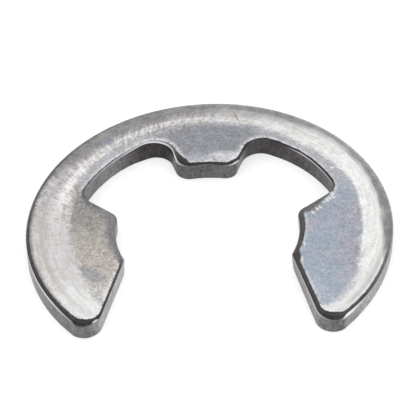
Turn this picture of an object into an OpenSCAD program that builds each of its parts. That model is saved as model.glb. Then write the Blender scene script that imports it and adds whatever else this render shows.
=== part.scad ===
// E-clip, an external retaining ring that snaps sideways into the groove of a shaft.
// One stamping of spring-steel strip. Millimetres, lying flat with its top face up,
// the seats' centre on the origin and the mouth toward -Y.

/* [Ring] */
// Diameter over the round back of the clip
rim_diameter = 23.3; // [22.8:0.1:23.6]
// Thickness of the strip
thickness = 1.3; // [1.1:0.05:1.5]
// Distance of the rim's centre behind the seats' centre
rim_offset = 0.54; // [0.3:0.02:0.8]
// Diameter of the circle that the three seats lie on
seat_diameter = 11.65; // [11.4:0.05:11.9]

/* [Mouth] */
// How far each lip stands inside the seats' circle, which is what holds the clip on
lip_grip = 0.6; // [0.4:0.02:0.8]
// Angle at which each end face opens outward
mouth_flare = 14.8; // [12:0.2:18]
// Rounding of the lips, seen from above
lip_radius = 0.35; // [0.33:0.01:0.5]
// Rounding of the two tips, seen from above
tip_radius = 1.08; // [0.8:0.02:1.3]

/* [Side prongs] */
// Height of a side seat's rear corner above the seats' centre, before rounding
shoulder_height = 1.28; // [1:0.02:1.6]
// Slope of the shoulder behind a side seat
shoulder_slope = 34.8; // [30:0.2:40]
// Rounding between seat and shoulder
shoulder_radius = 0.85; // [0.5:0.05:1.1]

/* [Middle prong] */
// Width of the middle prong where it meets the seats' circle, before rounding
prong_width = 3.8; // [3.2:0.1:4.4]
// Angle at which each of its sides spreads toward the rim
prong_spread = 14; // [8:0.5:18]
// Rounding of its two corners
prong_radius = 0.9; // [0.5:0.05:1.1]

/* [Windows] */
// Width of the band behind the windows, at the back of the clip
band_width = 3.19; // [2.8:0.01:3.6]
// Distance of the windows' arc centre behind the seats' centre
window_offset = 0.3; // [0.1:0.02:0.5]
// Rounding of a window beside the shoulder
shoulder_root_radius = 1.08; // [0.8:0.02:1.2]
// Rounding of a window beside the middle prong
prong_root_radius = 1.33; // [1:0.01:1.5]

/* [Surface] */
// Width of the outer zone in which the top face falls toward the rim
crown_width = 2.35; // [1.8:0.05:2.6]
// How much the top face has fallen at the rim
crown_drop = 0.08; // [0.06:0.01:0.16]
// Angle of that fall where it begins
crown_break = 0.6; // [0.3:0.1:1]
// Rounding between the crown and the rim's wall
rim_edge_radius = 0.3; // [0.2:0.01:0.45]
// Rounding of the other top edges
top_edge_radius = 0.28; // [0.15:0.01:0.3]
// Rounding of the bottom edges
bottom_edge_radius = 0.12; // [0.05:0.01:0.2]

/* [Hidden] */
$fn = 120;
// Sliver by which roundings stand proud, so that they end in clean edges
hair = 0.0002;
// Reach of the cutters into free space
reach = 0.3;
// Overlap of neighbouring roundings along an edge, and their difference in radius
lap = 0.05;
step = 0.005;

rim_r = rim_diameter / 2;
seat_r = seat_diameter / 2;
rim_c = [0, rim_offset];
seat_c = [0, 0];
window_c = [0, window_offset];
mouth_width = seat_diameter - 2 * lip_grip;
window_radius = rim_r + rim_offset - band_width - window_offset;

// Directions along the three straight edges, and square to them into free space
face_u = [sin(mouth_flare), -cos(mouth_flare)];
face_n = [-cos(mouth_flare), -sin(mouth_flare)];
shoulder_u = [cos(shoulder_slope), sin(shoulder_slope)];
shoulder_n = [-sin(shoulder_slope), cos(shoulder_slope)];
side_u = [sin(prong_spread), cos(prong_spread)];
side_n = [cos(prong_spread), -sin(prong_spread)];

// Unrounded corners on the seats' circle
shoulder_p = [sqrt(pow(seat_r, 2) - pow(shoulder_height, 2)), shoulder_height];
side_p = [prong_width / 2, sqrt(pow(seat_r, 2) - pow(prong_width / 2, 2))];

// Point where a line through p along u leaves the circle of radius r about c
function leaves(p, u, c, r) =
    let (f = p + u * ((c - p) * u), h = norm(f - c))
    f + u * sqrt(r * r - h * h);
// Point at distance r from c, on the line from c through p
function out(c, p, r) = c + (p - c) * r / norm(p - c);
function bearing(c, p) = atan2(p[1] - c[1], p[0] - c[0]);
function mirrored(p) = [-p[0], p[1]];

// Centres of the corner roundings
lip_c = let (x = mouth_width / 2 + lip_radius)
    [x, -sqrt(pow(seat_r + lip_radius, 2) - x * x)];
tip_c = leaves(lip_c + face_n * (lip_radius - tip_radius), face_u, rim_c, rim_r - tip_radius);
shoulder_c = leaves(shoulder_p - shoulder_n * shoulder_radius, shoulder_u,
    seat_c, seat_r + shoulder_radius);
shoulder_root_c = leaves(shoulder_p + shoulder_n * shoulder_root_radius, shoulder_u,
    window_c, window_radius - shoulder_root_radius);
prong_c = leaves(side_p - side_n * prong_radius, side_u, seat_c, seat_r + prong_radius);
prong_root_c = leaves(side_p + side_n * prong_root_radius, side_u,
    window_c, window_radius - prong_root_radius);

// Points where the outline passes from one edge into the next
seat_to_prong = out(seat_c, prong_c, seat_r);
prong_to_side = prong_c + side_n * prong_radius;
side_to_root = prong_root_c - side_n * prong_root_radius;
root_to_window = out(window_c, prong_root_c, window_radius);
window_to_root = out(window_c, shoulder_root_c, window_radius);
root_to_shoulder = shoulder_root_c - shoulder_n * shoulder_root_radius;
shoulder_to_corner = shoulder_c + shoulder_n * shoulder_radius;
corner_to_seat = out(seat_c, shoulder_c, seat_r);
seat_to_lip = out(seat_c, lip_c, seat_r);
lip_to_face = lip_c + face_n * lip_radius;
face_to_tip = tip_c + face_n * tip_radius;
tip_to_rim = out(rim_c, tip_c, rim_r);

// Crown: an arc through the break and the fall at the rim
crown_r = rim_r - crown_width;
crown_lean = atan2(crown_drop, crown_width);
crown_arc = norm([crown_width, crown_drop]) / 2 / sin(crown_lean - crown_break);

// Corner patch from a rounding's centre c past both tangent points and the sharp corner
module patch(c, r, p, q) {
    m = (p + q) / 2 - c;
    far = m * (1.1 * r * r / (m * m));
    difference() {
        polygon([c, c + (p - c) * 1.2, c + far, c + (q - c) * 1.2]);
        translate(c) circle(r + hair);
    }
}

module both_sides() {
    children();
    mirror([1, 0, 0]) children();
}

module outline() {
    difference() {
        translate(rim_c) circle(rim_r);
        circle(seat_r);
        mouth();
        both_sides() {
            window();
            patch(prong_c, prong_radius, prong_to_side, seat_to_prong);
            patch(shoulder_c, shoulder_radius, shoulder_to_corner, corner_to_seat);
            patch(lip_c, lip_radius, seat_to_lip, lip_to_face);
            patch(tip_c, tip_radius, face_to_tip, tip_to_rim);
        }
    }
}

// One window, open toward the seats' circle
module window() {
    inward = seat_r / 2;
    difference() {
        translate(window_c) circle(window_radius);
        polygon([
            side_p - side_u * inward,
            side_p + side_u * window_radius,
            [-2 * rim_r, 2 * rim_r],
            [-2 * rim_r, -2 * rim_r],
            [2 * rim_r, -2 * rim_r],
            shoulder_p + shoulder_u * window_radius,
            shoulder_p - shoulder_u * inward
        ]);
        patch(shoulder_root_c, shoulder_root_radius, window_to_root, root_to_shoulder);
        patch(prong_root_c, prong_root_radius, root_to_window, side_to_root);
    }
}

module mouth() {
    far = lip_to_face + face_u * rim_r;
    near = lip_to_face - face_u * seat_r / 2;
    polygon([near, far, mirrored(far), mirrored(near)]);
}

// What a rounding of radius e takes off an edge: the part lies toward +X and below
module edge_section(e) {
    difference() {
        translate([-reach, -e]) square([reach + e, reach + e]);
        translate([e, -e]) circle(e + hair);
    }
}

function turn(c, p, q) = (bearing(c, q) - bearing(c, p) + 360) % 360;

// Rounding along an outward curve, counter-clockwise about c from p to q
module round_bend(c, p, q, e, over = 0) {
    r = norm(p - c);
    translate(c)
        rotate_extrude(start = bearing(c, p) - over / r * 57.3, angle = turn(c, p, q) + 2 * over / r * 57.3)
        translate([r, 0]) mirror([1, 0]) edge_section(e);
}

// Rounding along an inward curve, clockwise about c from p to q
module round_hollow(c, p, q, e, over = 0) {
    r = norm(p - c);
    translate(c)
        rotate_extrude(start = bearing(c, q) - over / r * 57.3, angle = turn(c, q, p) + 2 * over / r * 57.3)
        translate([r, 0]) edge_section(e);
}

// Rounding along a straight edge from p to q, with the part on the left
module round_line(p, q, e, over_p, over_q) {
    u = (q - p) / norm(q - p);
    translate(p - u * over_p)
        rotate([90, 0, bearing(p, q) + 90])
        linear_extrude(norm(q - p) + over_p + over_q) edge_section(e);
}

// Roundings of all edges but the rim's, for a face at height 0. Each runs a little way
// into the next tighter one, and is a step smaller than it.
module round_inside(e) {
    middle = e - step;
    small = e - 2 * step;
    round_hollow(seat_c, mirrored(seat_to_prong), seat_to_prong, middle, lap);
    both_sides() {
        round_bend(prong_c, seat_to_prong, prong_to_side, e);
        round_line(prong_to_side, side_to_root, middle, lap, 0);
        round_hollow(prong_root_c, side_to_root, root_to_window, small, lap);
        round_hollow(window_c, root_to_window, window_to_root, middle);
        round_hollow(shoulder_root_c, window_to_root, root_to_shoulder, small, lap);
        round_line(root_to_shoulder, shoulder_to_corner, middle, 0, lap);
        round_bend(shoulder_c, shoulder_to_corner, corner_to_seat, e);
        round_hollow(seat_c, corner_to_seat, seat_to_lip, middle, lap);
        round_bend(lip_c, seat_to_lip, lip_to_face, e);
        round_line(lip_to_face, face_to_tip, middle, lap, lap);
        round_bend(tip_c, face_to_tip, tip_to_rim, e);
    }
}

// Fall of the top face toward the rim and the rounding into the rim's wall
module crown() {
    c = [crown_r - crown_arc * sin(crown_break), -crown_arc * cos(crown_break)];
    x = rim_r - rim_edge_radius - c[0];
    edge_c = [rim_r - rim_edge_radius, c[1] + sqrt(pow(crown_arc - rim_edge_radius, 2) - x * x)];
    translate(rim_c) rotate_extrude() {
        difference() {
            translate([crown_r - reach, -2 * crown_drop])
                square([crown_width + 2 * reach, 2 * crown_drop + reach]);
            translate(c) circle(crown_arc);
        }
        patch(edge_c, rim_edge_radius, edge_c + [rim_edge_radius, 0], out(c, edge_c, crown_arc));
    }
}

e_clip();

module e_clip() {
    color("#9a9b9c") difference() {
        linear_extrude(thickness) outline();
        translate([0, 0, thickness]) {
            crown();
            round_inside(top_edge_radius);
        }
        mirror([0, 0, 1]) {
            round_inside(bottom_edge_radius);
            round_bend(rim_c, tip_to_rim, mirrored(tip_to_rim), bottom_edge_radius - step, lap);
        }
    }
}
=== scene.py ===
"""An e-clip of spring steel, lying on a white studio floor.

Lengths are millimetres, which MM turns into the frame's metres, and angles are degrees.
Points in the plane of the strip are complex numbers, x + iy.
"""

import cmath
import math

import bpy
import numpy as np
from mathutils import Matrix, Vector
from mathutils.geometry import delaunay_2d_cdt


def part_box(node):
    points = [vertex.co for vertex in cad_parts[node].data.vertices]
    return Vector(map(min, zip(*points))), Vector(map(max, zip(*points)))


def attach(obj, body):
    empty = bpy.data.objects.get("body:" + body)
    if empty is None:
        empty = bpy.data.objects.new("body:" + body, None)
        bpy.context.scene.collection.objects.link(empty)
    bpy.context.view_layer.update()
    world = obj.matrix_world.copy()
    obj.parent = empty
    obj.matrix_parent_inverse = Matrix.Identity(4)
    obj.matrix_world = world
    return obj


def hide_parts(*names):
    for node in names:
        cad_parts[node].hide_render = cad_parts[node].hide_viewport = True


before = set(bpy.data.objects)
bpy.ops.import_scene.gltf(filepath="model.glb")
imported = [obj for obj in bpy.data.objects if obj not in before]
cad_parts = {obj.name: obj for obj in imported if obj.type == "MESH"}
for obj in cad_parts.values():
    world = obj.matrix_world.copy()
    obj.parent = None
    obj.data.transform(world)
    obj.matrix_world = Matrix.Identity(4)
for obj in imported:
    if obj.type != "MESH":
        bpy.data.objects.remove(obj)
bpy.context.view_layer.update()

MM = 0.001
NODE = "e_clip"

# ---------------------------------------------------------------- sizes

low, high = (np.array(corner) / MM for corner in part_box(NODE))
THICKNESS = high[2] - low[2]
RIM_R = (high[0] - low[0]) / 2
RIM_C = complex(0, high[1] - RIM_R)
SEAT_R = 11.65 / 2
SEAT_C = 0j

# How far each lip stands inside the seats' circle, and how far each end face opens
LIP_GRIP, MOUTH_FLARE = 0.6, 14.8
# Roundings of the lips and the tips, seen from above
LIP_R, TIP_R = 0.35, 1.08
# A side seat's rear corner: height above the seats' centre, slope behind it, and rounding
SHOULDER_HEIGHT, SHOULDER_SLOPE, SHOULDER_R = 1.28, 34.8, 0.85
# The middle prong is uneven: each pair is its right side and its left side
PRONG_WIDTH, PRONG_SPREAD, PRONG_R = (3.3, 3.8), (22, 14), (0.8, 0.9)
# Band behind the windows, and distance of the windows' centre behind the seats' centre
BAND_WIDTH, WINDOW_OFFSET = 3.19, 0.3
# Roundings at the windows' ends, beside the shoulder and beside the middle prong
SHOULDER_ROOT_R, PRONG_ROOT_R = 1.08, 1.33
# Crown in which the top face falls toward the rim: width, fall, and slope where it begins
CROWN_WIDTH, CROWN_DROP, CROWN_BREAK = 2.35, 0.08, 0.6

WINDOW_C = complex(0, WINDOW_OFFSET)
WINDOW_R = RIM_R + RIM_C.imag - BAND_WIDTH - WINDOW_OFFSET

# Stops of the finish between the outline's corners: a bearing on the middle prong's right
# corner and one on its left corner, bearings on each window, tip and half of the rim, and
# the length of the end face that is worn like the lip
PRONG_BEND = (-36, -58)
WINDOW_MIDDLE = (54, 46)
TIP_BEND = (-100, -64)
RIM_BEND = (-35, -10, 30)
LIP_WEAR = 0.5

# ---------------------------------------------------------------- outline

# Longest step along the outline, and the largest turn in one step, in radians
OUTLINE_STEP, OUTLINE_TURN = 0.1, 0.1


def direction(degrees):
    """The unit vector at a bearing, counter-clockwise from +X."""
    return cmath.rect(1, math.radians(degrees))


def leaves(p, u, c, r):
    """Where a line through p along u leaves the circle of radius r about c."""
    foot = p + u * ((c - p) * u.conjugate()).real
    return foot + u * math.sqrt(r * r - abs(foot - c) ** 2)


def out(c, p, r):
    """The point at distance r from c on the line from c through p."""
    return c + (p - c) * r / abs(p - c)


def edges(prong_width, prong_spread, prong_r, prong_bend):
    """The right half of the outline from the middle prong's seat to the back of the rim.

    Each edge is its kind, centre, start and end. The steel is on the left of the way.
    """
    face_u = direction(MOUTH_FLARE - 90)
    face_n = face_u * -1j
    shoulder_u = direction(SHOULDER_SLOPE)
    shoulder_n = shoulder_u * 1j
    side_u = direction(90 - prong_spread)
    side_n = side_u * -1j
    shoulder_p = complex(math.sqrt(SEAT_R**2 - SHOULDER_HEIGHT**2), SHOULDER_HEIGHT)
    side_p = complex(prong_width / 2, math.sqrt(SEAT_R**2 - (prong_width / 2) ** 2))

    # Centres of the roundings
    lip_x = SEAT_R - LIP_GRIP + LIP_R
    lip_c = complex(lip_x, -math.sqrt((SEAT_R + LIP_R) ** 2 - lip_x**2))
    tip_c = leaves(lip_c + face_n * (LIP_R - TIP_R), face_u, RIM_C, RIM_R - TIP_R)
    shoulder_c = leaves(shoulder_p - shoulder_n * SHOULDER_R, shoulder_u, SEAT_C, SEAT_R + SHOULDER_R)
    shoulder_root_c = leaves(
        shoulder_p + shoulder_n * SHOULDER_ROOT_R, shoulder_u, WINDOW_C, WINDOW_R - SHOULDER_ROOT_R
    )
    prong_c = leaves(side_p - side_n * prong_r, side_u, SEAT_C, SEAT_R + prong_r)
    prong_root_c = leaves(side_p + side_n * PRONG_ROOT_R, side_u, WINDOW_C, WINDOW_R - PRONG_ROOT_R)

    face_start = lip_c + face_n * LIP_R
    stops = [
        complex(0, SEAT_R),
        out(SEAT_C, prong_c, SEAT_R),
        prong_c + prong_r * direction(prong_bend),
        prong_c + side_n * prong_r,
        prong_root_c - side_n * PRONG_ROOT_R,
        out(WINDOW_C, prong_root_c, WINDOW_R),
        *(WINDOW_C + WINDOW_R * direction(bearing) for bearing in WINDOW_MIDDLE),
        out(WINDOW_C, shoulder_root_c, WINDOW_R),
        shoulder_root_c - shoulder_n * SHOULDER_ROOT_R,
        shoulder_c + shoulder_n * SHOULDER_R,
        out(SEAT_C, shoulder_c, SEAT_R),
        out(SEAT_C, lip_c, SEAT_R),
        face_start,
        face_start + face_u * LIP_WEAR,
        tip_c + face_n * TIP_R,
        *(tip_c + TIP_R * direction(bearing) for bearing in TIP_BEND),
        out(RIM_C, tip_c, RIM_R),
        *(RIM_C + RIM_R * direction(bearing) for bearing in RIM_BEND),
        RIM_C + 1j * RIM_R,
    ]
    kinds = [
        ("hollow", SEAT_C),
        *[("bend", prong_c)] * 2,
        ("line", None),
        ("hollow", prong_root_c),
        *[("hollow", WINDOW_C)] * (len(WINDOW_MIDDLE) + 1),
        ("hollow", shoulder_root_c),
        ("line", None),
        ("bend", shoulder_c),
        ("hollow", SEAT_C),
        ("bend", lip_c),
        *[("line", None)] * 2,
        *[("bend", tip_c)] * (len(TIP_BEND) + 1),
        *[("bend", RIM_C)] * (len(RIM_BEND) + 1),
    ]
    return [(*kind, p, q) for kind, p, q in zip(kinds, stops, stops[1:])]


def along(kind, centre, p, q):
    """Points from p to just before q, and the directions out of the steel there."""
    if kind == "line":
        count = math.ceil(abs(q - p) / OUTLINE_STEP)
        t = np.arange(count) / count
        return p + (q - p) * t, np.full(count, (q - p) / abs(q - p) * -1j)
    radius = abs(p - centre)
    sign = 1 if kind == "bend" else -1
    start = cmath.phase(p - centre)
    sweep = sign * (sign * (cmath.phase(q - centre) - start) % (2 * math.pi))
    count = math.ceil(max(abs(sweep) * radius / OUTLINE_STEP, abs(sweep) / OUTLINE_TURN))
    turn = np.exp(1j * (start + sweep * np.arange(count) / count))
    return centre + radius * turn, sign * turn


# Finish at each stop of the outline's two halves, blended in between:
#   width and depth of the top rounding, how far its tone fades into the face, and that tone,
#   which is painted shade and painted reflection, brightness of the painted glint below it,
#   tone of the wall, partly the sheared steel and partly painted shade, the bright fringe of
#   the top face beside it, partly wear and partly painted highlight,
#   and how far the wall stands outside the outline at its head and at its foot
COLUMNS = ("width", "depth", "fade", "edge", "glint", "wall", "wear_and_sheen", "head", "foot")
PAINTED = ("fade", "edge", "glint", "wall", "wear_and_sheen")
RIGHT_FINISH = {
    "prong middle": (0.12, 0.12, 0.05, 0.045, 0.12, 0.135, 0.8, 0, 0.07),
    "prong corner": (0.19, 0.14, 0.05, 0.05, 0.04, 0.14, 0.9, 0.07, 0.07),
    "prong bend": (0.34, 0.16, 0.05, 0.045, 0.95, 0.14, 0.9, 0.15, 0.02),
    "prong side": (0.17, 0.18, 0.05, 0.05, 0.3, 0.2, 0.9, 0.15, -0.03),
    "prong root": (0.1, 0.12, 0.05, 0.06, 0.2, 0.1, 0.9, 0.09, -0.07),
    "window rear": (0.07, 0.1, 0.03, 0.045, 0.1, 0.07, 0.8, -0.04, 0.12),
    "window back": (0.08, 0.16, 0.03, 0.04, 0.1, 0.08, 0.6, -0.03, 0.08),
    "window side": (0.09, 0.2, 0.03, 0.035, 0.6, 0.09, 0.5, -0.08, 0.05),
    "window front": (0.1, 0.28, 0.03, 0.035, 0.35, 0.14, 0.3, -0.04, 0),
    "shoulder root": (0.18, 0.24, 0.25, 0.11, 0.2, 0.14, 0.9, 0, 0),
    "shoulder": (0.65, 0.34, 0.85, 0.15, 0.16, 0.3, 0.9, 0, 0),
    "seat rear": (0.36, 0.32, 0.1, 0.085, 0.3, 0.35, 0.5, 0.09, 0.04),
    "seat front": (0.4, 0.34, 0.1, 0.08, 0.35, 0.35, 0.4, 0.08, -0.03),
    "lip": (0.3, 0.3, 0.05, 0.065, 0.35, 0.2, 0.4, 0.05, 0),
    "face rear": (0.29, 0.3, 0.05, 0.065, 0.37, 0.2, 0.4, 0.06, 0.02),
    "end face": (0.32, 0.28, 0.05, 0.06, 0.5, 0.24, 0.7, 0.02, 0.05),
    "tip": (0.47, 0.38, 0.05, 0.045, 0.15, 0.16, 0.9, 0.02, 0.07),
    "tip rear": (0.42, 0.42, 0.1, 0.07, 0.12, 0.16, 0.7, 0.02, 0.06),
    "rim tip": (0.22, 0.34, 0.1, 0.075, 0.9, 0.28, 0.5, 0, 0.02),
    "rim front": (0.16, 0.3, 0.05, 0.07, 0.4, 0.34, 0.3, 0, 0),
    "rim side": (0.2, 0.3, 0.1, 0.24, 0.3, 0.28, 0, 0, 0),
    "rim rear": (0.38, 0.32, 0.2, 0.42, 0.24, 0.2, 0, 0, 0),
    "rim back": (0.4, 0.32, 0.2, 0.36, 0.24, 0.2, 0, 0, 0),
}
LEFT_FINISH = {
    "prong middle": (0.12, 0.12, 0.05, 0.045, 0.12, 0.135, 0.8, 0, 0.07),
    "prong corner": (0.17, 0.15, 0.05, 0.045, 0.04, 0.13, 0.6, 0, 0.02),
    "prong bend": (0.56, 0.2, 0.05, 0.04, 0.3, 0.13, 0.6, 0, 0.03),
    "prong side": (0.55, 0.24, 0.08, 0.05, 0.75, 0.06, 0.6, 0.08, 0.08),
    "prong root": (0.26, 0.16, 0.08, 0.08, 0.85, 0.055, 0.8, 0.06, 0.14),
    "window rear": (0.1, 0.12, 0.03, 0.55, 0.85, 0.055, 0.9, -0.13, 0.12),
    "window back": (0.1, 0.12, 0.03, 0.4, 0.8, 0.1, 0.9, -0.03, 0),
    "window side": (0.1, 0.13, 0.03, 0.25, 0.6, 0.2, 0.8, 0, -0.03),
    "window front": (0.1, 0.14, 0.03, 0.12, 0.4, 0.2, 0.6, 0, 0),
    "shoulder root": (0.3, 0.2, 0.5, 0.2, 0.14, 0.16, 0, 0, 0),
    "shoulder": (0.6, 0.3, 0.6, 0.28, 0.2, 0.24, 0, 0, 0),
    "seat rear": (0.5, 0.3, 0.5, 0.27, 0.2, 0.24, 0, -0.05, -0.1),
    "seat front": (0.42, 0.3, 0.5, 0.24, 0.2, 0.3, 0.2, 0.02, -0.1),
    "lip": (0.33, 0.3, 0.45, 0.21, 0.25, 0.42, 0.3, 0.02, -0.03),
    "face rear": (0.16, 0.2, 0.05, 0.08, 0.4, 0.42, 0.7, 0.07, 0),
    "end face": (0.13, 0.2, 0.05, 0.055, 0.35, 0.34, 0.8, 0.06, 0),
    "tip": (0.46, 0.28, 0.05, 0.045, 0.12, 0.16, 0.9, 0, 0),
    "tip rear": (0.45, 0.28, 0.06, 0.045, 0.14, 0.16, 0.7, 0, 0),
    "rim tip": (0.32, 0.22, 0.08, 0.055, 0.3, 0.17, 0.4, -0.12, 0),
    "rim front": (0.3, 0.2, 0.25, 0.05, 0.65, 0.17, 0.1, -0.12, 0),
    "rim side": (0.27, 0.22, 0.3, 0.055, 0.5, 0.2, 0.1, -0.08, -0.04),
    "rim rear": (0.3, 0.3, 0.2, 0.13, 0.16, 0.16, 0, 0, 0),
    "rim back": (0.4, 0.32, 0.2, 0.36, 0.24, 0.2, 0, 0, 0),
}
FINISH = (RIGHT_FINISH, LEFT_FINISH)
# Distance over which the finish of neighbouring places blends
BLEND = 0.2


def half_outline(side):
    """The right half (0) or the left half (1) of the outline, both drawn on the right side."""
    points, normals, values = [], [], []
    marks = [np.array(row) for row in FINISH[side].values()]
    way = edges(PRONG_WIDTH[side], PRONG_SPREAD[side], PRONG_R[side], PRONG_BEND[side])
    for edge, before, after in zip(way, marks, marks[1:]):
        z, n = along(*edge)
        points.append(z)
        normals.append(n)
        values.append(before + (after - before) * (np.arange(len(z)) / len(z))[:, None])
    points.append(np.array([RIM_C + 1j * RIM_R]))
    normals.append(np.array([1j]))
    values.append(marks[-1][None, :])
    return np.concatenate(points), np.concatenate(normals), np.concatenate(values)


def outline():
    """The closed outline: points, outward directions, and the finish there by column."""
    z, n, values = half_outline(0)
    left_z, left_n, left_values = half_outline(1)
    z = np.concatenate([z, -left_z[-2:0:-1].conjugate()])
    n = np.concatenate([n, -left_n[-2:0:-1].conjugate()])
    values = blended(np.concatenate([values, left_values[-2:0:-1]]), z)
    return z, n, dict(zip(COLUMNS, values.T))


def blended(values, z):
    """Values along the closed outline, each the mean of those around it."""
    length = np.abs(np.roll(z, -1) - z)
    at = np.concatenate([[0], np.cumsum(length)[:-1]])
    gap = np.abs(at[:, None] - at[None, :])
    gap = np.minimum(gap, length.sum() - gap)
    weight = np.exp(-((gap / BLEND) ** 2)) * ((length + np.roll(length, 1)) / 2)
    return weight @ values / weight.sum(1, keepdims=True)


# ---------------------------------------------------------------- mesh

BOTTOM_ROUNDING = 0.04
# Rings of points over the bottom rounding, up the wall, and over the top rounding, where
# the wall shares its first and last ring with the roundings
BOTTOM_RINGS, WALL_RINGS, TOP_RINGS = 5, 7, 12
# Spacing of the points that fill the two faces, distance of their rows as a share of it, and
# the share of it by which they keep clear of the face's edge
TOP_SPACING, BOTTOM_SPACING = 0.14, 0.5
ROW_PITCH, CLEARANCE = 0.87, 0.6
# Place in the section that the inner points of the bottom face are given
UNDERNEATH = -2.0
# How the triangles of a face are made: only inside its edge, merging points closer than this
INSIDE_ONLY, MERGED = 1, 1e-6


def top_height(z):
    """Height of the top face over a point, which falls toward the rim."""
    x = np.clip(abs(z - RIM_C) - (RIM_R - CROWN_WIDTH), 0, None)
    slope = math.tan(math.radians(CROWN_BREAK))
    bend = (CROWN_DROP - slope * CROWN_WIDTH) / CROWN_WIDTH**2
    return THICKNESS - slope * x - bend * x * x


def section(z, n, finish):
    """Rings of points from the bottom face, up the wall and over the rounding to the top face.

    Each ring is its points, their height, and their place in the section: below 0 on the
    wall, in millimetres, and 0 to 1 over the rounding.
    """
    rings = []
    width, depth, head, foot = (finish[name] for name in ("width", "depth", "head", "foot"))
    wall_top = top_height(z) - depth
    for turn in np.linspace(0, math.pi / 2, BOTTOM_RINGS):
        h = BOTTOM_ROUNDING * (1 - math.cos(turn))
        p = z + n * (foot - BOTTOM_ROUNDING * (1 - math.sin(turn)))
        rings.append((p, h, h - wall_top))
    for t in np.linspace(0, 1, WALL_RINGS)[1:-1]:
        h = BOTTOM_ROUNDING + (wall_top - BOTTOM_ROUNDING) * t
        rings.append((z + n * (foot + (head - foot) * t), h, h - wall_top))
    for t in np.linspace(0, 1, TOP_RINGS):
        turn = t * math.pi / 2
        p = z + n * (head - width * (1 - math.cos(turn)))
        rings.append((p, top_height(p) - depth * (1 - math.sin(turn)), t))
    return rings


def inside(p, ring):
    """Which of the points p lie inside the closed ring."""
    result = np.zeros(len(p), bool)
    for u, v in zip(ring, np.roll(ring, -1)):
        crosses = (u.imag > p.imag) != (v.imag > p.imag)
        if crosses.any():
            x = u.real + (p.imag - u.imag) / (v.imag - u.imag) * (v.real - u.real)
            result ^= crosses & (p.real < x)
    return result


def filling(ring, spacing):
    """Points about spacing apart that fill the ring, on circles about the rim's centre."""
    p = np.concatenate([
        RIM_C + r * np.exp(1j * np.arange(0, 2 * math.pi, spacing / r))
        for r in np.arange(RIM_R, SEAT_R / 2, -spacing * ROW_PITCH)
    ])
    p = p[inside(p, ring)]
    return p[np.array([abs(ring - q).min() for q in p]) > CLEARANCE * spacing]


def face_triangles(ring, fill, indices):
    """Triangles over the ring and the points inside it, as the mesh's indices of its points."""
    count = len(ring)
    loop = [(i, (i + 1) % count) for i in range(count)]
    flat = [Vector((q.real, q.imag)) for q in np.concatenate([ring, fill])]
    result = delaunay_2d_cdt(flat, loop, [], INSIDE_ONLY, MERGED)
    source = [indices[origin[0]] for origin in result[3]]
    return [tuple(source[v] for v in triangle) for triangle in result[2]]


def build_ring():
    """The ring as one closed mesh, with the place in the section and the finish at each point."""
    z, n, finish = outline()
    rings = section(z, n, finish)
    count = len(z)
    where = [np.column_stack([p.real, p.imag, np.broadcast_to(h, count)]) for p, h, _ in rings]
    across = [np.broadcast_to(t, count) for _, _, t in rings]
    nearest = [np.arange(count)] * len(rings)
    faces = []
    for k in range(len(rings) - 1):
        for i in range(count):
            j = (i + 1) % count
            faces.append((k * count + i, k * count + j, (k + 1) * count + j, (k + 1) * count + i))
    total = len(rings) * count
    for k, spacing, top in ((len(rings) - 1, TOP_SPACING, True), (0, BOTTOM_SPACING, False)):
        ring = rings[k][0]
        fill = filling(ring, spacing)
        indices = [*range(k * count, (k + 1) * count), *range(total, total + len(fill))]
        total += len(fill)
        triangles = face_triangles(ring, fill, indices)
        faces += triangles if top else [tuple(reversed(triangle)) for triangle in triangles]
        distance = np.abs(fill[:, None] - (z + n * finish["head"])[None, :])
        near = distance.argmin(1)
        nearest.append(near)
        height = top_height(fill) if top else np.zeros(len(fill))
        where.append(np.column_stack([fill.real, fill.imag, height]))
        inward = 1 + distance.min(1) - finish["width"][near]
        across.append(inward if top else np.full(len(fill), UNDERNEATH))
    mesh = bpy.data.meshes.new("retaining_ring")
    mesh.from_pydata((np.concatenate(where) * MM).tolist(), [], faces)
    mesh.shade_smooth()
    near = np.concatenate(nearest)
    values = {"across": np.concatenate(across)}
    values.update((name, finish[name][near]) for name in PAINTED)
    for name, column in values.items():
        layer = mesh.attributes.new(name, "FLOAT", "POINT")
        layer.data.foreach_set("value", column.astype(np.float32))
    piece = bpy.data.objects.new("retaining_ring", mesh)
    bpy.context.scene.collection.objects.link(piece)
    return piece


ring = build_ring()
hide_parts(NODE)
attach(ring, "root")

# ---------------------------------------------------------------- colours

BLUE_STEEL = (0.385, 0.44, 0.515)
PURPLE_STEEL = (0.405, 0.405, 0.46)
WARM_STEEL = (0.6, 0.5, 0.43)
BAND_STEEL = (0.395, 0.398, 0.418)
GREY_STEEL = (0.31, 0.315, 0.34)
NECK_STEEL = (0.335, 0.32, 0.305)
TAN_STEEL = (0.5, 0.465, 0.43)
PALE_STEEL = (0.53, 0.515, 0.5)
# The crown's painted highlight, and its dimmer and lilac forms at the left
BRIGHT_STEEL = (0.84, 0.84, 0.83)
DIMMER_HIGHLIGHT_STEEL = (0.65, 0.63, 0.605)
LILAC_STEEL = (0.635, 0.62, 0.635)
# Dark steel for scratches and a seam, and for the painted shade along the rim
MARK_AND_SHADE_STEEL = (0.28, 0.272, 0.275)
# Bright steel for worn places, and for painted highlights and glints
WEAR_AND_HIGHLIGHT_STEEL = (0.84, 0.84, 0.85)
# Painted shade that carries a dark edge band further into the face
EDGE_SHADE_STEEL = (0.078, 0.07, 0.072)
STAIN = (0.22, 0.29, 0.4)
# Tints of the painted shade on dark edges and walls, and of the painted glints and light edges
EDGE_TINT = (1.06, 0.965, 0.99)
PALE_TINT = (1.0, 0.98, 1.04)
NO_TINT = (1.0, 1.0, 1.0)
# Tones at which an edge or a wall counts as light and as dark
LIGHT_TONE, DARK_TONE = 0.2, 0.06
ROUGHNESS = 0.4

# ---------------------------------------------------------------- places of the finish

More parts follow.
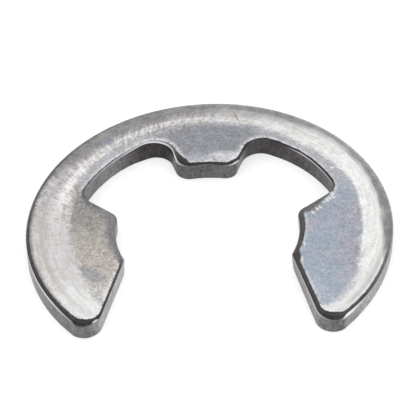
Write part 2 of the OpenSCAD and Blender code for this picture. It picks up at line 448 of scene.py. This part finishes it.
# Radii from the rim's centre: inner border of the crown's painted highlight, its crest, where
# that highlight is brighter, and three faint rings, which are a tan arc, a scuff and a dark seam
CROWN_R, CREST_R, ARC_R, SCUFF_R, SEAM_R = 9.3, 9.7, 10.58, 10.94, 11.2
# Width of the painted shade along the rim, on the crown's outer part, and its changes round
# some bearings from the rim's centre: bearing, spread and gain in width
RIM_SHADE_WIDTH = 0.62
RIM_SHADE_CHANGES = [
    (90, 60, 0.15),
    (125, 45, 0.45),
    (205, 65, -0.9),
    (-64, 61, -1.2),
    (128, 35, 0.2),
    (70, 30, 0.15),
    (12, 36, 0.1),
]
# Patches: centre, half length, half width and bearing
WARM_PATCH = ((8.7, -0.5), 3.2, 0.9, 85)
GREY_PATCH = ((-7.25, -3.95), 1.25, 0.55, -32)
# A painted highlight on the crown at the right tip
TIP_HIGHLIGHT_PATCH = ((7.5, -7.15), 1.0, 0.3, 8)
PRONG_PATCH = ((1.15, 6.52), 1.35, 0.5, 4)
# Where a patch's soft edge ends and where it begins, as shares of its half sizes, and a
# half height that takes in the whole part
PATCH_EDGE = (1.3, 0.5)
PATCH_HEIGHT = 1000
# Small marks on the top face and its edges: a patch each, its strength and its colour
NICKS = [(6.64, 0.85), (6.9, 1.18), (7.13, 1.32), (7.6, 1.94), (7.78, 2.12), (7.99, 2.2), (7.95, 2.51)]
MARKS = [
    ((1.92, 10.4), 0.72, 0.07, -73, 0.7, MARK_AND_SHADE_STEEL),
    ((2.6, 8.79), 0.55, 0.07, -61, 0.75, MARK_AND_SHADE_STEEL),
    ((3.1, 9.26), 0.65, 0.05, -15, 0.5, MARK_AND_SHADE_STEEL),
    ((0.31, 10.6), 0.42, 0.06, -56, 0.5, MARK_AND_SHADE_STEEL),
    ((-0.95, 10.93), 0.8, 0.06, 2, 0.6, MARK_AND_SHADE_STEEL),
    ((-3.43, 9.95), 0.6, 0.06, -71, 0.7, MARK_AND_SHADE_STEEL),
    ((-6.75, 8.21), 0.5, 0.25, 35, 0.45, STAIN),
    ((8.1, 5.0), 0.15, 0.12, 0, 0.8, WEAR_AND_HIGHLIGHT_STEEL),
    # Painted shade beside the right lip, widening its dark edge band
    ((5.54, -2.9), 0.65, 0.2, 92, 1, EDGE_SHADE_STEEL),
    ((5.77, -3.2), 0.24, 0.07, 88, 0.8, WEAR_AND_HIGHLIGHT_STEEL),
    ((5.98, -1.9), 0.2, 0.06, 92, 0.7, WEAR_AND_HIGHLIGHT_STEEL),
    # A painted glint at the left tip's right end
    ((-6.67, -7.7), 0.28, 0.07, 36, 0.9, WEAR_AND_HIGHLIGHT_STEEL),
    *((centre, 0.19, 0.09, SHOULDER_SLOPE - 90, 0.75, WEAR_AND_HIGHLIGHT_STEEL) for centre in NICKS),
]

# ---------------------------------------------------------------- node trees


class Field:
    """A value that varies over a surface. Arithmetic on it adds nodes to its material."""

    def __init__(self, graph, socket):
        self.graph, self.socket = graph, socket

    def __add__(self, other):
        return self.graph.math("ADD", self, other)

    def __sub__(self, other):
        return self.graph.math("SUBTRACT", self, other)

    def __rsub__(self, other):
        return self.graph.math("SUBTRACT", other, self)

    def __mul__(self, other):
        return self.graph.math("MULTIPLY", self, other)

    def __truediv__(self, other):
        return self.graph.math("DIVIDE", self, other)

    def __neg__(self):
        return self.graph.math("MULTIPLY", self, -1)

    def __abs__(self):
        return self.graph.math("ABSOLUTE", self)

    __radd__, __rmul__ = __add__, __mul__


class Graph:
    """A material's node tree, with one short method for each kind of node it uses."""

    def __init__(self, name):
        self.material = bpy.data.materials.new(name)
        self.material.use_nodes = True
        self.tree = self.material.node_tree
        self.shader = self.tree.nodes["Principled BSDF"]

    def node(self, kind, **settings):
        made = self.tree.nodes.new("ShaderNode" + kind)
        for key, value in settings.items():
            setattr(made, key, value)
        return made

    def feed(self, socket, value):
        if isinstance(value, Field):
            self.tree.links.new(value.socket, socket)
        else:
            socket.default_value = value

    def math(self, operation, *values):
        made = self.node("Math", operation=operation)
        for socket, value in zip(made.inputs, values):
            self.feed(socket, value)
        return Field(self, made.outputs[0])

    def smooth(self, value, low, high):
        """0 where value is at low and 1 where it is at high, with a smooth passage."""
        made = self.node("MapRange", interpolation_type="SMOOTHSTEP")
        for socket, x in zip(made.inputs, (value, low, high)):
            self.feed(socket, x)
        return Field(self, made.outputs[0])

    def noise(self, vector, scale, detail, roughness=0.5):
        """Noise from about -1 to 1, scale times finer than the vector's units along each axis."""
        stretched = self.node("VectorMath", operation="MULTIPLY")
        self.feed(stretched.inputs[0], vector)
        stretched.inputs[1].default_value = scale
        made = self.node("TexNoise")
        self.tree.links.new(stretched.outputs[0], made.inputs["Vector"])
        made.inputs["Scale"].default_value = 1
        made.inputs["Detail"].default_value = detail
        made.inputs["Roughness"].default_value = roughness
        return (Field(self, made.outputs[0]) - 0.5) * 3

    def mix(self, share, a, b):
        """The colour a, with the given share of b."""
        made = self.node("Mix", data_type="RGBA")
        sockets = [socket for socket in made.inputs if socket.enabled]
        for socket, value in zip(sockets, (share, a, b)):
            self.feed(socket, (*value, 1) if isinstance(value, tuple) else value)
        return Field(self, next(socket for socket in made.outputs if socket.enabled))

    def scaled(self, vector, factor):
        made = self.node("VectorMath", operation="SCALE")
        self.feed(made.inputs[0], vector)
        self.feed(made.inputs["Scale"], factor)
        return Field(self, made.outputs[0])

    def parts(self, vector):
        made = self.node("SeparateXYZ")
        self.feed(made.inputs[0], vector)
        return [Field(self, socket) for socket in made.outputs]

    def joined(self, *values):
        made = self.node("CombineXYZ")
        for socket, value in zip(made.inputs, values):
            self.feed(socket, value)
        return Field(self, made.outputs[0])

    def attribute(self, name):
        """A value stored at the mesh's points."""
        return Field(self, self.node("Attribute", attribute_name=name).outputs["Fac"])


class SteelGraph(Graph):
    """The steel's node tree, with the fields that the parts of its finish share."""

    def __init__(self):
        super().__init__("spring_steel")
        coordinates = self.node("TexCoord")
        self.place = self.scaled(Field(self, coordinates.outputs["Object"]), 1 / MM)
        self.x, self.y, z = self.parts(self.place)
        self.upward = self.parts(Field(self, coordinates.outputs["Normal"]))[2]
        edge_values = [self.attribute(name) for name in ("across", *PAINTED)]
        self.across, self.fade, self.edge, self.glint, self.wall, self.wear_and_sheen = edge_values

        # Polar coordinates about the rim's centre: radius, length along the rim, height
        v = self.y - RIM_C.imag
        self.radius = self.math("SQRT", self.x * self.x + v * v)
        length = self.math("ARCTAN2", self.x, v) * RIM_R
        self.polar = self.joined(self.radius, length, z)
        leaning = self.joined(self.radius, length - self.radius * 0.5, z)
        self.right, self.back = self.x / self.radius, v / self.radius
        self.right_side, self.left_side = (self.smooth(self.x, 0.0, end) for end in (3.0, -3.0))

        self.blotches = self.noise(self.place, (0.5, 0.5, 0.5), 3)
        self.clouds = self.noise(self.place, (1.3, 1.3, 1.3), 2)
        self.mottle = self.noise(self.place, (3.6, 3.6, 3.6), 3, 0.6)
        self.grain = self.noise(self.place, (9, 9, 9), 2, 0.6)
        self.streaks = self.noise(self.polar, (5, 0.6, 1), 3, 0.6)
        self.ticks = self.noise(leaning, (1.5, 4.2, 1), 2, 0.6)
        self.upright = self.noise(self.place, (7, 7, 1.2), 2, 0.6)
        self.speckle = self.mottle * 0.6 + self.grain * 0.6
        self.wobble = self.streaks * 0.14 + self.speckle * 0.14

        self.rear, self.rear_left = self.toward(90, 60), self.toward(135, 60)
        self.lower_right = self.smooth(self.y, -1.5, -6.5) * self.right_side

    def toward(self, bearing, spread):
        """1 at a bearing from the rim's centre, falling to 0 at spread degrees from it."""
        d = direction(bearing)
        return self.smooth(self.right * d.real + self.back * d.imag, math.cos(math.radians(spread)), 1)

    def around(self, radius, waver, wide, narrow):
        """1 within narrow of a radius, falling to 0 at wide from it, with a wavering border."""
        return self.smooth(abs(self.radius + self.wobble * waver - radius), wide, narrow)

    def patch(self, centre, half_length, half_width, bearing):
        """1 inside an upright elliptical column and 0 outside it, with a soft edge."""
        made = self.node("Mapping", vector_type="TEXTURE")
        self.feed(made.inputs["Vector"], self.place)
        made.inputs["Location"].default_value = (*centre, 0)
        made.inputs["Rotation"].default_value = (0, 0, math.radians(bearing))
        made.inputs["Scale"].default_value = (half_length, half_width, PATCH_HEIGHT)
        length = self.node("VectorMath", operation="LENGTH")
        self.tree.links.new(made.outputs[0], length.inputs[0])
        return self.smooth(Field(self, length.outputs["Value"]), *PATCH_EDGE)


# ---------------------------------------------------------------- spring steel


def right_flat(g):
    """Blue with violet clouds and a warm patch."""
    violet = g.blotches * 0.7 + g.clouds * 0.7 + g.mottle * 0.5 + (g.x - 7.8) * 0.35
    blue = g.mix(g.smooth(violet, -0.8, 0.8), BLUE_STEEL, PURPLE_STEEL)
    warm = g.smooth(g.mottle + g.grain * 0.5, 0.15, 0.8) * 0.6 * g.patch(*WARM_PATCH)
    return g.mix(warm, blue, WARM_STEEL)


def left_flat(g):
    """Darker beside the window, tan in the middle and pale toward the tip."""
    neck = g.smooth(g.y + g.blotches * 0.8 + g.mottle * 0.6, -2.2, 1.6)
    tan = g.mix(neck, TAN_STEEL, NECK_STEEL)
    return g.mix(g.smooth(g.y + g.mottle * 0.5, -3.2, -5.2), tan, PALE_STEEL)


def flats(g):
    """Dull flats of the three prongs and of the band between them, with their grain."""
    prong_end = g.smooth(g.y, 7.1, 6.2) * g.smooth(abs(g.x), 3.0, 1.8)
    middle = g.scaled(GREY_STEEL, 1 + prong_end * 0.4)
    flat = g.mix(g.smooth(g.x, 2.0, 5.0), middle, right_flat(g))
    flat = g.mix(g.smooth(g.x + g.blotches * 0.5, -3.5, -6.0), flat, left_flat(g))
    flat = g.mix(g.patch(*GREY_PATCH) * 0.7, flat, GREY_STEEL)
    band = g.scaled(BAND_STEEL, 1 + g.smooth(abs(g.right), 0.2, 0.8) * 0.2)
    flat = g.mix(g.smooth(g.y, 2.6, 4.6) * g.smooth(abs(g.x), 1.8, 4.5), flat, band)
    flat = g.scaled(flat, 1 + g.smooth(g.y, -3.0, -6.5) * 0.12)
    roughened = g.smooth(g.x, 3.0, -5.0) * 0.28 + 0.58
    texture = (g.mottle * 0.35 + g.grain * 0.6) * roughened
    return g.scaled(flat, 1 + texture + g.clouds * 0.12 + g.ticks * g.right_side * 0.07)


def crown_highlight_zone(g):
    """1 on the crown, where its painted highlight lies, and 0 inside it, with a border that softens to
    the rear.
    """
    inner = CROWN_R + g.smooth(g.right, 0.7, 0.97) * 0.44 + g.lower_right * 1.16
    inner = inner - g.smooth(g.back, 0.55, 0.05) * g.left_side * 0.53
    inner = inner + g.smooth(g.back, -0.35, -0.9) * g.left_side * 1.1
    softness = 0.19 + g.smooth(g.right, 0.4, -0.6) * 0.06 + g.rear * 0.2
    softness = softness + g.toward(118, 46) * 0.2 + g.lower_right * 0.16
    return g.smooth(g.radius + g.wobble - inner, -softness, softness)


def crown(g):
    """Painted highlight on the crown: brightest at the right, dimmer and lilac at the left, with a
    brighter crest at the left and darker toward the rim at the rear, and hatched at the rear left.
    """
    front = g.smooth(g.y + g.clouds * 0.4, -3.2, -6.0)
    dimmer = g.smooth(g.right + g.blotches * 0.15, 0.9, -0.3) * (1 - front * 0.7)
    lilac = g.smooth(g.clouds + g.mottle, -0.6, 0.6)
    shine = g.mix(dimmer, BRIGHT_STEEL, g.mix(lilac, DIMMER_HIGHLIGHT_STEEL, LILAC_STEEL))
    hatch = g.smooth(g.ticks + g.speckle * 0.5, 0.6, -0.6) * (g.rear_left * 0.75 + g.rear * 0.2)
    outward = g.smooth(g.radius + g.wobble, 9.75, 10.5) * (g.rear + g.rear_left * 0.5)
    crest = g.around(CREST_R, 0.7, 0.45, 0.12) * (g.toward(130, 55) * 0.25 + g.toward(162, 26) * 0.2)
    tone = 1 + g.rear_left * 0.1 + crest - hatch * 0.6 - outward * 0.2
    tone = tone + g.streaks * 0.2 + g.speckle * 0.24 + g.clouds * 0.08 - g.lower_right * 0.06
    long_streaks = g.noise(g.polar, (8, 0.2, 1), 1)
    return g.scaled(shine, tone + long_streaks * (g.rear * 0.14 + 0.03))


def faint_rings(g, top):
    """A tan arc at the left, a darker seam at the lower right, and a scuff at the rear right."""
    arc = g.around(ARC_R, 0.4, 0.25, 0.02) * g.toward(188, 46)
    top = g.mix(arc * g.smooth(g.streaks + g.mottle * 0.4, -1.2, 0.6) * 0.85, top, TAN_STEEL)
    seam = g.around(SEAM_R, 0.4, 0.24, 0.04) * g.toward(-28, 32)
    top = g.mix(seam * g.smooth(g.speckle, -1.0, 0.6) * 0.45, top, MARK_AND_SHADE_STEEL)
    scuff = g.around(SCUFF_R, 0.6, 0.2, 0.05) * g.toward(68, 18)
    return g.mix(scuff * g.smooth(g.streaks * 0.5 + g.mottle, -0.6, 0.3), top, GREY_STEEL)


def outer_zone(g, top):
    """Painted shade along the rim: a darker zone on the crown's outer part, whose width changes with the
    bearing.
    """
    reach = RIM_SHADE_WIDTH
    for bearing, spread, gain in RIM_SHADE_CHANGES:
        reach = reach + g.toward(bearing, spread) * gain
    softness = 0.24 + g.rear * 0.25 + g.rear_left * 0.15
    from_border = g.radius + g.streaks * 0.25 + g.speckle * 0.08 - RIM_R + reach
    # The painted shade along the rim
    rim_shade = g.smooth(from_border, -softness, softness)
    return g.mix(rim_shade, top, g.scaled(MARK_AND_SHADE_STEEL, 1 + g.speckle * 0.45 + g.clouds * 0.3))


def highlight_and_worn_patches(g, top):
    """A painted highlight at the right tip, and a patch of bright wear on the middle prong."""
    tip = g.patch(*TIP_HIGHLIGHT_PATCH) * g.smooth(g.speckle, -1.2, 0.6)
    top = g.mix(tip * 0.8, top, WEAR_AND_HIGHLIGHT_STEEL)
    prong = g.patch(*PRONG_PATCH) * g.smooth(g.speckle + g.clouds * 0.5, -0.9, 0.6)
    return g.mix(prong * 0.7, top, WEAR_AND_HIGHLIGHT_STEEL)


def top_roundings(g, top):
    """The rounded top edges in painted shade and painted reflection, and the bright fringe beside them,
    partly wear and partly painted highlight.
    """
    # The edge tone is painted shade and reflection on the roundings, dark on most edges and grey on some
    dark = g.smooth(g.edge, LIGHT_TONE, DARK_TONE)
    # A lighter core in the dark bands: a painted reflection
    core = g.smooth(abs(g.across - 0.72), 0.22, 0.0) * dark
    tone = g.edge * (0.92 + core * 0.45 + g.speckle * 0.6 + g.clouds * 0.2)
    rounded = g.smooth(g.across + g.speckle * 0.06, g.fade + 1, 0.95 - g.fade * 0.4)
    top = g.mix(rounded, top, g.scaled(g.mix(dark, PALE_TINT, EDGE_TINT), tone))
    # The bright fringe beside the edges: partly wear, partly painted highlight
    beside = g.across - g.fade * 0.4
    fringe = g.smooth(beside + g.speckle * 0.15, 1.1 + g.wear_and_sheen * 0.3, 1.06) * g.smooth(beside, 0.92, 1.0)
    return g.mix(fringe * g.wear_and_sheen * g.smooth(g.speckle - g.fade * 0.4, -0.5, 0.3), top, WEAR_AND_HIGHLIGHT_STEEL)


def marks(g, top):
    """Scratches, a stain, spots of wear and nicks, painted shade beside the right lip, and a painted
    glint at the left tip.
    """
    for *patch, strength, colour in MARKS:
        top = g.mix(g.patch(*patch) * strength, top, colour)
    return top


def sheared_walls_shade_and_glint(g, top):
    """The walls, partly sheared steel and partly painted shade, darkest in the windows, and the painted
    glint where the roundings meet them.
    """
    # The glint is a painted highlight on the lower part of each rounding
    lower = g.smooth(g.across - g.glint * 0.3, 0.24, 0.16)
    top = g.mix(lower, top, g.scaled(PALE_TINT, g.glint * (1 + g.speckle * 0.2)))
    # Wall tone: sheared steel with painted shade, darkest in the windows
    tone = g.wall * (1 + g.speckle * 0.7 + g.upright * 0.25 + g.clouds * 0.25)
    tint = g.mix(g.smooth(g.wall, LIGHT_TONE, DARK_TONE), NO_TINT, EDGE_TINT)
    return g.mix(g.smooth(g.across, 0.1, -0.02), top, g.scaled(tint, tone))


def underside(g, colour):
    """Plain grey where the steel faces down."""
    downward = g.smooth(g.upward, -0.6, -0.9)
    return g.mix(downward, colour, g.scaled(GREY_STEEL, 1 + g.speckle * 0.2 + g.clouds * 0.2))


def steel():
    """Spring steel: a crown bright with painted highlight round darker flats, rounded edges in painted
    shade and glints, and dark sheared walls partly in painted shade.
    """
    g = SteelGraph()
    crown_zone = crown_highlight_zone(g)
    colour = g.mix(crown_zone, flats(g), crown(g))
    for layer in (faint_rings, outer_zone, highlight_and_worn_patches, top_roundings, marks, sheared_walls_shade_and_glint, underside):
        colour = layer(g, colour)
    g.feed(g.shader.inputs["Base Color"], colour)
    g.feed(g.shader.inputs["Roughness"], ROUGHNESS - crown_zone * 0.06 + g.speckle * 0.05)
    g.shader.inputs["Metallic"].default_value = 1
    return g.material


ring.data.materials.append(steel())

# ---------------------------------------------------------------- studio

# The floor lies this far below the part, so that no two faces coincide
FLOOR_GAP = 0.01
FLOOR_HALF = 500
FLOOR_TONE, FLOOR_ROUGHNESS = 0.8, 0.9
# How much of the floor's own white the camera sees on top of the light it reflects
FLOOR_GLOW = 0.5
# Brightness of the white world as light, and as the camera sees it
WORLD_LEVEL, WORLD_SEEN = 0.85, 1


def seen_directly(nodes, links):
    """1 for rays from the camera, straight or by way of a mirror or glass, and 0 for others."""
    path = nodes.new("ShaderNodeLightPath")
    seen = path.outputs["Is Camera Ray"]
    for name in ("Is Glossy Ray", "Is Transmission Ray"):
        either = nodes.new("ShaderNodeMath")
        either.operation = "MAXIMUM"
        links.new(seen, either.inputs[0])
        links.new(path.outputs[name], either.inputs[1])
        seen = either.outputs[0]
    return seen


def floor():
    """A wide white floor with a glow that only the camera and mirrors see, and a soft shadow."""
    mesh = bpy.data.meshes.new("floor")
    signs = ((-1, -1), (1, -1), (1, 1), (-1, 1))
    corners = [Vector((x * FLOOR_HALF, y * FLOOR_HALF, -FLOOR_GAP)) * MM for x, y in signs]
    mesh.from_pydata(corners, [], [(0, 1, 2, 3)])
    piece = bpy.data.objects.new("floor", mesh)
    bpy.context.scene.collection.objects.link(piece)
    material = bpy.data.materials.new("floor_white")
    material.use_nodes = True
    nodes, links = material.node_tree.nodes, material.node_tree.links
    shader = nodes["Principled BSDF"]
    shader.inputs["Base Color"].default_value = (FLOOR_TONE, FLOOR_TONE, FLOOR_TONE, 1)
    shader.inputs["Roughness"].default_value = FLOOR_ROUGHNESS
    shader.inputs["Specular IOR Level"].default_value = 0
    shader.inputs["Emission Color"].default_value = (1, 1, 1, 1)
    strength = nodes.new("ShaderNodeMath")
    strength.operation = "MULTIPLY"
    strength.inputs[1].default_value = FLOOR_GLOW
    links.new(seen_directly(nodes, links), strength.inputs[0])
    links.new(strength.outputs[0], shader.inputs["Emission Strength"])
    mesh.materials.append(material)
    return piece


floor()


def studio_world():
    """An even white world, which lights everything."""
    world = bpy.data.worlds.new("studio")
    bpy.context.scene.world = world
    world.use_nodes = True
    nodes, links = world.node_tree.nodes, world.node_tree.links
    background = nodes["Background"]
    background.inputs["Color"].default_value = (1, 1, 1, 1)
    level = nodes.new("ShaderNodeMapRange")
    links.new(seen_directly(nodes, links), level.inputs["Value"])
    level.inputs["To Min"].default_value = WORLD_LEVEL
    level.inputs["To Max"].default_value = WORLD_SEEN
    links.new(level.outputs[0], background.inputs["Strength"])


studio_world()

# ---------------------------------------------------------------- camera

SENSOR, LENS = 36, 127.6
CLIP_START, CLIP_END = 5, 5000
# Distance, height and bearing of the camera as seen from the rim's centre, its roll, and
# how far it aims to the side of that centre and above it
DISTANCE = 95.0
ELEVATION, AZIMUTH, ROLL = 43.94, -2.393, -3.477
AIM = (-0.065, -1.51)


def camera():
    """A long lens from above the mouth of the clip."""
    data = bpy.data.cameras.new("camera")
    data.sensor_width = SENSOR
    data.lens = LENS
    data.clip_start, data.clip_end = CLIP_START * MM, CLIP_END * MM
    item = bpy.data.objects.new("camera", data)
    bpy.context.scene.collection.objects.link(item)
    turn = (
        Matrix.Rotation(math.radians(-ROLL), 3, "Z")
        @ Matrix.Rotation(math.radians(ELEVATION - 90), 3, "X")
        @ Matrix.Rotation(math.radians(AZIMUTH), 3, "Z")
    )
    target = Vector((RIM_C.real, RIM_C.imag, 0))
    place = target - turn.transposed() @ Vector((*AIM, -DISTANCE))
    item.matrix_world = Matrix.Translation(place * MM) @ turn.transposed().to_4x4()
    return item


bpy.context.scene.camera = camera()
bpy.context.scene.view_settings.view_transform = "Standard"
